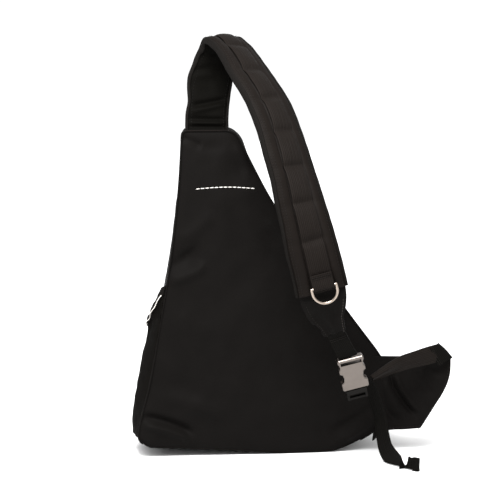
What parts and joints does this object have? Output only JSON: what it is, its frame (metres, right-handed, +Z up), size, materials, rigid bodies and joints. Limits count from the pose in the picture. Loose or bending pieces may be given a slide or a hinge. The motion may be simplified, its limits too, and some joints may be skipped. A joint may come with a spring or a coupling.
{
  "type": "sling bag",
  "caption": "Upright teardrop sling bag with a padded one-shoulder strap, side-release buckle, arched main zip, front pocket and mesh side pocket.",
  "frame": {"origin": "on the underside of the base, in the plane of the padded back panel", "axes": "+Z up, -Y out of the back panel towards the wearer, +X to the side where the strap's buckle and the fabric wing are"},
  "size_m": [0.3869, 0.2515, 0.5045],
  "materials": {
    "black_nylon": "matte woven",
    "strap_nylon": "matte woven",
    "strap_lining": "smooth woven",
    "lining": "plain woven",
    "foam": "closed cell foam",
    "board": "matte",
    "binding": "grosgrain",
    "webbing": "ribbed webbing",
    "black_thread": "thread",
    "white_thread": "thread",
    "mesh": "open mesh",
    "zip_tape": "twill",
    "zip_coil": "satin",
    "zip_metal": "satin black",
    "ring_metal": "polished nickel",
    "buckle_silver": "satin silver plating",
    "black_plastic": "satin"
  },
  "bodies": {
    "bag": {"back_panel_skin": "black_nylon", "back_panel_foam": "foam", "back_panel_lining": "lining", "left_gusset": "black_nylon", "right_gusset": "black_nylon", "top_gusset": "black_nylon", "base_panel": "black_nylon", "base_board": "board", "edge_binding": "binding", "front_panel": "black_nylon", "main_zip_tape_body": "zip_tape", "main_zip_coil_body": "zip_coil", "main_zip_stops": "zip_metal", "front_pocket_zip_tape_upper": "zip_tape", "front_pocket_zip_coil_upper": "zip_coil", "mesh_pocket_panel": "mesh", "mesh_pocket_binding": "binding", "contrast_stitches": "white_thread", "wing_panel": "black_nylon", "wing_webbing_band": "webbing", "wing_band_anchor": "webbing", "strap_anchor_patch": "webbing"},
    "front_flap": {"front_flap_panel": "black_nylon", "main_zip_tape_flap": "zip_tape", "main_zip_coil_flap": "zip_coil"},
    "front_pocket": {"front_pocket_shell": "black_nylon", "front_pocket_zip_tape_lower": "zip_tape", "front_pocket_zip_coil_lower": "zip_coil"},
    "left_slider": {"left_slider": "zip_metal"},
    "right_slider": {"right_slider": "zip_metal"},
    "left_pull": {"left_pull_tab": "zip_metal"},
    "right_pull": {"right_pull_tab": "zip_metal"},
    "pocket_slider": {"pocket_slider": "zip_metal"},
    "pocket_pull": {"pocket_pull_tab": "zip_metal"},
    "strap": {"strap_foam": "foam", "strap_inner_cover": "strap_lining", "strap_outer_cover": "strap_nylon", "strap_left_binding": "binding", "strap_right_binding": "binding", "strap_centre_webbing": "webbing", "strap_bartacks": "black_thread", "strap_end_flap": "strap_nylon", "strap_lower_webbing": "webbing", "d_ring_loop": "webbing", "buckle_socket": "buckle_silver", "tail_webbing": "webbing", "tail_hem": "webbing"},
    "d_ring": {"d_ring": "ring_metal"},
    "plug": {"buckle_plug": "black_plastic"},
    "left_prong": {"left_prong": "black_plastic"},
    "right_prong": {"right_prong": "black_plastic"}
  },
  "joints": [
    {"name": "front_flap_open", "type": "hinge", "parent": "bag", "child": "front_flap", "pos_m": [0, 0.08808, 0.168], "axis": [-1, 0, 0], "range_deg": [0, 75]},
    {"name": "left_zip_travel", "type": "slide", "parent": "bag", "child": "left_slider", "axis": [-0.0962, 0.1461, -0.9846], "range_m": [0, 0.19298]},
    {"name": "right_zip_travel", "type": "slide", "parent": "bag", "child": "right_slider", "axis": [0.5132, 0.1259, -0.849], "range_m": [0, 0.2238]},
    {"name": "left_pull_lift", "type": "hinge", "parent": "left_slider", "child": "left_pull", "pos_m": [-0.07805, 0.06421, 0.34456], "axis": [0.9954, 0.0141, -0.0952], "range_deg": [0, 120]},
    {"name": "right_pull_lift", "type": "hinge", "parent": "right_slider", "child": "right_pull", "pos_m": [-0.03331, 0.06421, 0.34456], "axis": [0.8583, -0.0753, 0.5077], "range_deg": [0, 120]},
    {"name": "front_pocket_open", "type": "hinge", "parent": "bag", "child": "front_pocket", "pos_m": [0, 0.10825, 0.032], "axis": [-1, 0, 0], "range_deg": [0, 22]},
    {"name": "pocket_zip_travel", "type": "slide", "parent": "front_pocket", "child": "pocket_slider", "axis": [-1, 0, 0], "range_m": [0, 0.12]},
    {"name": "pocket_pull_lift", "type": "hinge", "parent": "pocket_slider", "child": "pocket_pull", "pos_m": [0.056, 0.09584, 0.14769], "axis": [0, 0.1467, -0.9892], "range_deg": [0, 120]},
    {"name": "strap_swing", "type": "hinge", "parent": "bag", "child": "strap", "pos_m": [-0.064, 0.015, 0.393], "axis": [-1, 0, 0], "range_deg": [0, 15]},
    {"name": "d_ring_swing", "type": "hinge", "parent": "strap", "child": "d_ring", "pos_m": [0.05353, -0.11674, 0.22024], "axis": [-0.9649, 0.0811, -0.2498], "range_deg": [0, 120]},
    {"name": "plug_release", "type": "slide", "parent": "strap", "child": "plug", "axis": [0.2401, 0.2201, -0.9455], "range_m": [0, 0.036]},
    {"name": "left_prong_press", "type": "hinge", "parent": "plug", "child": "left_prong", "pos_m": [0.0951, -0.06374, 0.09121], "axis": [0, 0.974, 0.2267], "range_deg": [0, 8], "stiffness_Nm_per_rad": 0.05},
    {"name": "right_prong_press", "type": "hinge", "parent": "plug", "child": "right_prong", "pos_m": [0.1083, -0.06448, 0.09439], "axis": [0, -0.974, -0.2267], "range_deg": [0, 8], "stiffness_Nm_per_rad": 0.05}
  ],
  "couplings": [
    {"joint": "left_zip_travel", "follows": "front_flap_open", "m_per_rad": 0.14742},
    {"joint": "right_zip_travel", "follows": "front_flap_open", "m_per_rad": 0.17097},
    {"joint": "pocket_zip_travel", "follows": "front_pocket_open", "m_per_rad": 0.31252},
    {"joint": "right_prong_press", "follows": "left_prong_press", "ratio": 1}
  ]
}
